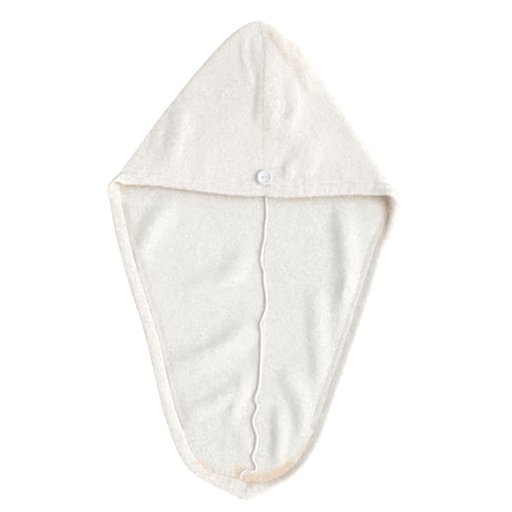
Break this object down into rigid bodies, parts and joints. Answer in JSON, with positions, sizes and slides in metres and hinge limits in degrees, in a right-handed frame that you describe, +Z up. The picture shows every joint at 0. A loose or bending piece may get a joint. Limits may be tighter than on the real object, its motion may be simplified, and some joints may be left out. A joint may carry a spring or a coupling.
{
  "type": "hair turban towel",
  "caption": "Hooded hair towel of thick cream fleece with a hemmed opening, a long tapering tail, a centre seam, and a button with its loop, lying flat.",
  "frame": {"origin": "on the surface that the towel lies on, under the middle of its outline", "axes": "+Y along the towel from the tail's tip to the crown, +X across it to the right as seen from above, +Z up out of the surface"},
  "size_m": [0.381, 0.626, 0.0282],
  "materials": {
    "fleece": "thick soft fleece with a short dense pile",
    "hem": "the same fleece, turned over and stitched down",
    "seam": "raw fleece edges bound together with overlock thread",
    "button": "glossy white plastic",
    "thread": "white sewing thread",
    "elastic": "soft woven elastic"
  },
  "bodies": {
    "root": {"left_panel": "fleece", "right_panel": "fleece", "left_hem": "hem", "right_hem": "hem", "centre_seam": "seam", "button": "button", "button_thread": "thread", "button_loop": "elastic"}
  },
  "joints": []
}
